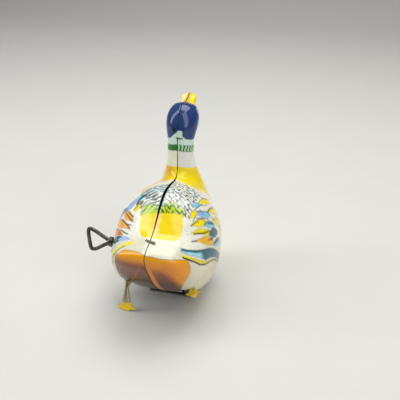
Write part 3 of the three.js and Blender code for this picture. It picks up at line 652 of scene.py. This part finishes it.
def slice_sheet(sheet, point, facing):
    low = [f for f in sheet.faces if f.calc_center_median().z < LOW_SHEET * MM]
    parts = low + list({e for f in low for e in f.edges}) + list({v for f in low for v in f.verts})
    bmesh.ops.bisect_plane(sheet, geom=parts, dist=1e-6, plane_co=Vector(point) * MM, plane_no=facing)


def cut_belly(sheet, side):
    for reach in (OPENING[0], SLOT[0], SLOT[1]):
        slice_sheet(sheet, (side * reach, 0, 0), (1, 0, 0))
    for along in (OPENING[1], OPENING[2], SLOT[2], SLOT[3]):
        slice_sheet(sheet, (0, along - TAIL, 0), (0, 1, 0))
    doomed = []
    for face in sheet.faces:
        c = face.calc_center_median() / MM
        if in_opening(c.x, c.y + TAIL, c.z):
            doomed.append(face)
    bmesh.ops.delete(sheet, geom=doomed, context="FACES")


def cut_key_hole(sheet):
    arbor_y, arbor_z = (KEY_AT[0] - TAIL) * MM, KEY_AT[1] * MM

    def from_arbor(p):
        return math.hypot(p.y / MM + TAIL - KEY_AT[0], p.z / MM - KEY_AT[1])

    doomed = []
    for face in sheet.faces:
        middle = face.calc_center_median()
        if middle.x < -15 * MM and from_arbor(middle) < KEY_HOLE + 0.1:
            doomed.append(face)
    rim = {v for f in doomed for v in f.verts}
    bmesh.ops.delete(sheet, geom=doomed, context="FACES")
    for v in rim:
        if v.is_valid:
            grow = KEY_HOLE / from_arbor(v.co)
            v.co.y = arbor_y + (v.co.y - arbor_y) * grow
            v.co.z = arbor_z + (v.co.z - arbor_z) * grow


print("belly opening", 2 * OPENING[0], "by", OPENING[2] - OPENING[1], "mm")

# %% [markdown]
# ## One half of the shell
# The press also raises a small plain ring low on the rump's right side. It is made by
# moving the net's own points, so the print stretches over it as real ink does. The half
# is then meshed, cut, and thickened with a modifier.

# %% Net to mesh
RING_AT, RING_R = (10.9, 21.9), 1.45     # across and up, on the rump


def emboss(net, side):
    if side == LEFT:
        return net
    d = np.hypot(net[..., 0] - RING_AT[0], net[..., 2] - RING_AT[1])
    raised = np.exp(-((d - RING_R) / 0.35) ** 2) * (net[..., 1] < 12)
    net[..., 1] -= 0.28 * raised
    return net


def shell_half(name, side):
    net = emboss(NETS[side][0], side)
    paint = PRINTS[side]
    rows, columns = net.shape[:2]
    points = net.reshape(-1, 3) - np.array([0, TAIL, 0])
    number = np.arange(rows * columns).reshape(rows, columns)
    corners = [number[:-1, :-1], number[:-1, 1:], number[1:, 1:], number[1:, :-1]]
    quads = np.stack(corners, -1).reshape(-1, 4)
    if side == RIGHT:
        quads = quads[:, ::-1]
    mesh = bpy.data.meshes.new(name)
    mesh.from_pydata((points * MM).tolist(), [], quads.tolist())
    shades = mesh.color_attributes.new("print", "FLOAT_COLOR", "POINT")
    rgba = np.concatenate([paint.reshape(-1, 3), np.ones((len(points), 1))], 1)
    shades.data.foreach_set("color", rgba.astype(np.float32).ravel())
    sheet = bmesh.new()
    sheet.from_mesh(mesh)
    cut_belly(sheet, side)
    if side == LEFT:
        cut_key_hole(sheet)
    bmesh.ops.recalc_face_normals(sheet, faces=sheet.faces)
    sheet.to_mesh(mesh)
    sheet.free()
    mesh.polygons.foreach_set("use_smooth", [True] * len(mesh.polygons))
    half = bpy.data.objects.new(name, mesh)
    bpy.context.collection.objects.link(half)
    thick = half.modifiers.new("sheet thickness", "SOLIDIFY")
    thick.thickness, thick.offset, thick.use_even_offset = TIN * MM, -1, False
    thick.material_offset, thick.material_offset_rim = 1, 2
    return half


halves = {
    "body_shell_left": shell_half("shell_left", LEFT),
    "body_shell_right": shell_half("shell_right", RIGHT),
}
for half in halves.values():
    print(half.name, len(half.data.polygons), "faces")

# %% [markdown]
# ## Printed and varnished tinplate
# Lithographed tinplate is thin steel with a tin coat, printed in oil inks and stoved under
# a clear varnish. The eye sees flat colour under a hard gloss, slightly wavy from pressing,
# with pin-head chips and fine rubs where hands have worn it. The ink is a dielectric, so
# metallic is zero, and a coat stands for the varnish. In every finish here a noise is
# spread over a range by a map node: its lowest and highest input, then the two results.

# %% Finish: litho tinplate
GRIME = "#5a503c"


def litho_tinplate(name, plain=None):
    finish, tree, out = new_finish(name)
    place = add(tree, "ShaderNodeTexCoord").outputs["Object"]
    if plain:
        printed = ink(plain)
    else:
        printed = add(tree, "ShaderNodeAttribute", attribute_name="print").outputs["Color"]
    mottle = add(tree, "ShaderNodeTexNoise", {"Vector": place, "Scale": 260.0, "Detail": 4.0})
    uneven = add(tree, "ShaderNodeMapRange", {
        "Value": mottle.outputs["Fac"], 1: 0.3, 2: 0.7, 3: 0.92, 4: 1.04})
    inked = add(tree, "ShaderNodeHueSaturation", {"Value": uneven.outputs[0], "Color": printed})
    grime = add(tree, "ShaderNodeTexNoise", {"Vector": place, "Scale": 900.0, "Detail": 5.0})
    specks = add(tree, "ShaderNodeMapRange", {
        "Value": grime.outputs["Fac"], 1: 0.72, 2: 0.76, 3: 0.0, 4: 0.5})
    mix = add(tree, "ShaderNodeMixRGB", {0: specks.outputs[0], 1: inked.outputs[0], 2: ink(GRIME)})
    waves = add(tree, "ShaderNodeTexNoise", {"Vector": place, "Scale": 130.0, "Detail": 1.0})
    rubs = add(tree, "ShaderNodeTexNoise", {"Vector": place, "Scale": 1500.0, "Detail": 3.0})
    bump = add(tree, "ShaderNodeBump", {
        "Strength": 0.35, "Distance": 0.4 * MM, "Height": waves.outputs["Fac"]})
    gloss = add(tree, "ShaderNodeMapRange", {
        "Value": rubs.outputs["Fac"], 1: 0.3, 2: 0.7, 3: 0.09, 4: 0.17})
    shader = add(tree, "ShaderNodeBsdfPrincipled", {
        "Base Color": mix.outputs[0], "Roughness": gloss.outputs[0], "Normal": bump.outputs[0],
        "IOR": 1.5, "Coat Weight": 0.12, "Coat Roughness": 0.06, "Coat IOR": 1.5})
    tree.links.new(shader.outputs[0], out.inputs[0])
    return finish


litho = litho_tinplate("litho tinplate")
litho_mint = litho_tinplate("litho tinplate mint", "#c9e2d4")
print("finishes:", litho.name, "and", litho_mint.name)

# %% [markdown]
# ## Bare metals
# Inside, the sheet is bare tin, dull grey with a soft sheen. The motor is stamped steel,
# brass wheels turned and polished, and blued spring steel. Each metal is a base colour
# with full metallic, a rub pattern in its roughness and a little tarnish.

# %% Finish: bare metals
def bare_metal(name, clean, tarnish, rough, grain_mm):
    finish, tree, out = new_finish(name)
    place = add(tree, "ShaderNodeTexCoord").outputs["Object"]
    cloud = add(tree, "ShaderNodeTexNoise", {
        "Vector": place, "Scale": 1 / (grain_mm * 12 * MM), "Detail": 5.0})
    grain = add(tree, "ShaderNodeTexNoise", {
        "Vector": place, "Scale": 1 / (grain_mm * MM), "Detail": 3.0})
    patchy = add(tree, "ShaderNodeMapRange", {
        "Value": cloud.outputs["Fac"], 1: 0.35, 2: 0.7, 3: 0.0, 4: 0.8})
    tone = add(tree, "ShaderNodeMixRGB", {0: patchy.outputs[0], 1: ink(clean), 2: ink(tarnish)})
    dull = add(tree, "ShaderNodeMapRange", {
        "Value": grain.outputs["Fac"], 1: 0.3, 2: 0.7, 3: rough * 0.75, 4: rough * 1.35})
    bump = add(tree, "ShaderNodeBump", {
        "Strength": 0.2, "Distance": 0.08 * MM, "Height": grain.outputs["Fac"]})
    shader = add(tree, "ShaderNodeBsdfPrincipled", {
        "Base Color": tone.outputs[0], "Metallic": 1.0,
        "Roughness": dull.outputs[0], "Normal": bump.outputs[0]})
    tree.links.new(shader.outputs[0], out.inputs[0])
    return finish


bare_tin = bare_metal("bare tin", "#a8a59b", "#6d675a", 0.42, 0.5)
cut_edge = bare_metal("cut tin edge", "#7d776b", "#4a4338", 0.5, 0.4)
stamped_steel = bare_metal("stamped steel", "#a4a29c", "#7a746a", 0.36, 0.4)
turned_steel = bare_metal("turned steel", "#b0aeaa", "#86827a", 0.3, 0.3)
blued_spring = bare_metal("blued spring steel", "#55606f", "#3c3f4a", 0.32, 0.4)
clock_brass = bare_metal("clock brass", "#c9a24a", "#94702e", 0.3, 0.4)
worn_wire = bare_metal("worn key wire", "#6a665d", "#38332c", 0.26, 0.35)
for half in halves.values():
    for finish in (litho, bare_tin, cut_edge):
        half.data.materials.append(finish)
for node, half in halves.items():
    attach(half, "body")
    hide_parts(node)
print("the halves wear", litho.name, "outside and", bare_tin.name, "inside")

# %% [markdown]
# ## Locking tabs
# Tongues of one half pass through slots in the other and are bent flat. Two show: one
# across the seam above the rump, and one below the head with the dark end of its slot
# under it. A tongue is a small sheet with rounded corners, its edges softened by the press.

# %% The two tabs
def tongue(name, finish, at, lean, long, wide, twist):
    flat = bmesh.new()
    corner = min(long, wide) * 0.3
    ring = []
    for k in range(4):
        cx = (wide / 2 - corner) * (1 if k in (0, 3) else -1)
        cy = (long / 2 - corner) * (1 if k in (0, 1) else -1)
        for step in range(5):
            a = math.radians(90 * k + 22.5 * step)
            place = Vector((cx + corner * math.cos(a), cy + corner * math.sin(a), 0))
            ring.append(flat.verts.new(place * MM))
    flat.faces.new(ring)
    mesh = bpy.data.meshes.new(name)
    flat.to_mesh(mesh)
    flat.free()
    tab = bpy.data.objects.new(name, mesh)
    bpy.context.collection.objects.link(tab)
    tab.location = Vector((at[0], at[1] - TAIL, at[2])) * MM
    tab.rotation_euler = (lean, 0, twist)
    thick = tab.modifiers.new("sheet", "SOLIDIFY")
    thick.thickness, thick.offset = 0.4 * MM, 1
    soft = tab.modifiers.new("pressed edges", "BEVEL")
    soft.width, soft.segments = 0.12 * MM, 2
    mesh.materials.append(finish)
    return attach(tab, "body")


tongue("tab_above_rump", cut_edge, (0.35, 7.2, 39.35), 0.28, 0.9, 4.4, -0.30)
tongue("tab_below_head", litho_mint, (1.0, 47.0, 67.9), math.pi / 2 - 0.1, 2.9, 2.3, 0.0)
tongue("slot_below_head", cut_edge, (1.0, 46.7, 66.1), math.pi / 2 - 0.05, 0.42, 2.9, 0.0)

# %% [markdown]
# ## Yellow legs
# The legs are steel channels stamped with a webbed foot and dipped in yellow enamel. The
# enamel is glossy and slightly uneven, with a few dark chips. On the left leg a mix by height
# turns it pale above the foot: partly enamel rubbed down to the tin, partly a painted reflection.

# %% Finish: dipped enamel
FRESH_ENAMEL, AGED_ENAMEL, CHIP, TIN_AND_PAINTED_SHEEN = "#f8d40e", "#e0b21c", "#6f5a33", "#b9b29a"
TIN_AND_SHEEN_ABOVE = 4.6     # mm above the table


def dipped_enamel(name, tin_and_sheen_above=None):
    finish, tree, out = new_finish(name)
    place = add(tree, "ShaderNodeTexCoord").outputs["Object"]
    cloud = add(tree, "ShaderNodeTexNoise", {"Vector": place, "Scale": 420.0, "Detail": 4.0})
    age = add(tree, "ShaderNodeMapRange", {
        "Value": cloud.outputs["Fac"], 1: 0.4, 2: 0.68, 3: 0.0, 4: 0.5})
    tone = add(tree, "ShaderNodeMixRGB", {
        0: age.outputs[0], 1: ink(FRESH_ENAMEL), 2: ink(AGED_ENAMEL)})
    chips = add(tree, "ShaderNodeTexNoise", {"Vector": place, "Scale": 1100.0, "Detail": 3.0})
    chip = add(tree, "ShaderNodeMapRange", {
        "Value": chips.outputs["Fac"], 1: 0.7, 2: 0.74, 3: 0.0, 4: 0.7})
    worn = add(tree, "ShaderNodeMixRGB", {0: chip.outputs[0], 1: tone.outputs[0], 2: ink(CHIP)})
    # Above this height the colour turns pale tin: partly rubbed wear, partly a painted reflection of the
    # lamps on the glossy flank.
    if tin_and_sheen_above:
        height = add(tree, "ShaderNodeSeparateXYZ", {"Vector": place}).outputs["Z"]
        ragged = add(tree, "ShaderNodeMath", {
            0: cloud.outputs["Fac"], 1: 2.4 * MM, 2: height}, operation="MULTIPLY_ADD")
        bare = add(tree, "ShaderNodeMapRange", {
            "Value": ragged.outputs[0], 1: tin_and_sheen_above, 2: tin_and_sheen_above + 0.7 * MM, 3: 0.0, 4: 0.92})
        worn = add(tree, "ShaderNodeMixRGB", {
            0: bare.outputs[0], 1: worn.outputs[0], 2: ink(TIN_AND_PAINTED_SHEEN)})
    bump = add(tree, "ShaderNodeBump", {
        "Strength": 0.3, "Distance": 0.1 * MM, "Height": cloud.outputs["Fac"]})
    gloss = add(tree, "ShaderNodeMapRange", {
        "Value": chips.outputs["Fac"], 1: 0.3, 2: 0.7, 3: 0.22, 4: 0.42})
    shader = add(tree, "ShaderNodeBsdfPrincipled", {
        "Base Color": worn.outputs[0], "Roughness": gloss.outputs[0], "Normal": bump.outputs[0],
        "IOR": 1.5, "Coat Weight": 0.3, "Coat Roughness": 0.12, "Coat IOR": 1.5})
    tree.links.new(shader.outputs[0], out.inputs[0])
    return finish


enamel = dipped_enamel("yellow dipped enamel")
enamel_tin_and_sheen = dipped_enamel("yellow enamel with rubbed tin and painted sheen", TIN_AND_SHEEN_ABOVE * MM)
print("finishes:", enamel.name, "and", enamel_tin_and_sheen.name)

# %% [markdown]
# ## The wire key
# The key is one length of round steel wire bent into a narrow loop, its two ends brought
# together in a ferrule on the winding arbor. A curve with a round bevel is the natural way
# to make bent wire.

# %% The key
WIRE_R = 0.8
KEY_Y, KEY_Z = KEY_AT[0] - TAIL, KEY_AT[1]
key_line = [(-22.9, 0.82), (-24.8, 1.9), (-27.2, 3.6), (-29.4, 4.9), (-31.0, 5.3),
            (-31.7, 4.3), (-31.5, 0.0), (-31.3, -4.0), (-30.6, -5.0), (-29.0, -4.7),
            (-27.0, -3.4), (-24.8, -1.8), (-22.9, -0.82)]
wire = bpy.data.curves.new("key_wire", "CURVE")
wire.dimensions, wire.use_fill_caps = "3D", True
wire.bevel_depth, wire.bevel_resolution = WIRE_R * MM, 6
bend = wire.splines.new("NURBS")
bend.points.add(len(key_line) - 1)
for point, (x, z) in zip(bend.points, key_line):
    point.co = (x * MM, KEY_Y * MM, (KEY_Z + z) * MM, 1)
bend.order_u, bend.use_endpoint_u, bend.resolution_u = 4, True, 10
wire.materials.append(worn_wire)
key = bpy.data.objects.new("winding_key_wire", wire)
bpy.context.collection.objects.link(key)
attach(key, "winder")
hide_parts("winding_key")

# %% [markdown]
# ## The motor and the legs from the frame
# The motor's wheels, plates and shafts are already the right shape. They get their metal
# and a small bevel, since a stamped or turned edge is never perfectly sharp. The legs come
# from the frame as well, and get their enamel here.

# %% Metals on the motor, enamel on the legs
WEARS = [
    (clock_brass, "great_wheel second_wheel second_pinion crank_pinion"),
    (stamped_steel, "base_plate motor_plate_left motor_plate_right ratchet_wheel click "
                    "crank_left crank_right"),
    (worn_wire, "winding_arbor key_ferrule"),
    (turned_steel, "pillar_top pillar_rear pillar_front second_shaft crank_shaft "
                   "click_rivet pin_washer_left pin_washer_right"),
    (blued_spring, "mainspring click_spring"),
    (enamel, "leg_right"),
    (enamel_tin_and_sheen, "leg_left"),
]
EASED = 0.07           # mm, the width of a softened edge
for finish, names in WEARS:
    for name in names.split():
        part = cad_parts[name]
        part.data.materials.clear()
        part.data.materials.append(finish)
        edge = part.modifiers.new("eased edges", "BEVEL")
        edge.width, edge.segments = EASED * MM, 2
        edge.limit_method, edge.angle_limit = "ANGLE", 0.6
print(sum(len(names.split()) for _, names in WEARS), "parts finished")

# %% [markdown]
# ## The table
# The toy stands on a plain pale table that curves up into a backdrop, so no horizon line
# crosses the view. It is one strip of faces along a profile, smooth shaded.

# %% The table
def pale_table():
    finish, tree, out = new_finish("pale table")
    place = add(tree, "ShaderNodeTexCoord").outputs["Object"]
    grain = add(tree, "ShaderNodeTexNoise", {"Vector": place, "Scale": 40.0, "Detail": 6.0})
    tone = add(tree, "ShaderNodeMixRGB", {0: grain.outputs["Fac"], 1: ink("#d9d7d2"), 2: ink("#d3d1cc")})
    shader = add(tree, "ShaderNodeBsdfPrincipled", {"Base Color": tone.outputs[0], "Roughness": 0.75})
    tree.links.new(shader.outputs[0], out.inputs[0])
    return finish


profile = [(-0.9, 0.0), (0.55, 0.0), (0.72, 0.02), (0.85, 0.09), (0.92, 0.22),
           (0.95, 0.45), (0.95, 1.1)]
cloth = bpy.data.meshes.new("table")
cloth.from_pydata([(x, y, z) for y, z in profile for x in (-1.4, 1.4)], [],
                  [(2 * k, 2 * k + 1, 2 * k + 3, 2 * k + 2) for k in range(len(profile) - 1)])
cloth.polygons.foreach_set("use_smooth", [True] * len(cloth.polygons))
table = bpy.data.objects.new("table", cloth)
bpy.context.collection.objects.link(table)
cloth.materials.append(pale_table())
print("table", len(cloth.polygons), "faces")

# %% [markdown]
# ## Lamps
# A broad lamp above and behind gives the soft shadows towards the viewer. Two tall side
# lamps draw the long streaks on the head, since a glossy curved sheet mirrors a lamp as a
# line. A pale room fills the shadows.

# %% Lamps
def lamp(name, at, look, size, power, tint):
    data = bpy.data.lights.new(name, "AREA")
    data.shape, data.size, data.size_y = "RECTANGLE", size[0], size[1]
    data.energy, data.color = power, tint
    light = bpy.data.objects.new(name, data)
    light.location = at
    light.rotation_euler = (Vector(look) - Vector(at)).to_track_quat("-Z", "Y").to_euler()
    bpy.context.collection.objects.link(light)


TOY = (0, 0, 0.035)
lamp("top and behind", (0.02, 0.16, 0.52), TOY, (0.42, 0.34), 1.8, (1.0, 0.98, 0.95))
lamp("left tall", (-0.42, -0.10, 0.43), TOY, (0.17, 0.80), 1.7, (0.95, 0.98, 1.0))
lamp("right tall", (0.33, -0.28, 0.43), TOY, (0.30, 0.80), 1.6, (1.0, 0.99, 0.97))
room = bpy.data.worlds.new("studio")
room.use_nodes = True
sky = room.node_tree.nodes["Background"].inputs
sky["Color"].default_value, sky["Strength"].default_value = (0.86, 0.88, 0.92, 1), 0.30
bpy.context.scene.world = room
print("three lamps and a pale room")

# %% [markdown]
# ## Camera
# The toy is seen from behind, from its right and from above, as when it is about to hop
# away. A lens of 54 mm, about a quarter of a metre off, gives a mild perspective.

# %% Camera
lens = bpy.data.cameras.new("camera")
lens.lens, lens.sensor_width, lens.clip_start = 54.0, 36.0, 0.01
camera = bpy.data.objects.new("camera", lens)
camera.location = (0.06654, -0.21015, 0.16060)
camera.rotation_euler = Vector((-0.2181, 0.8556, -0.4695)).to_track_quat("-Z", "Y").to_euler()
bpy.context.collection.objects.link(camera)
bpy.context.scene.camera = camera
bpy.context.scene.view_settings.view_transform = "Standard"
print("camera", [round(v, 3) for v in camera.location])
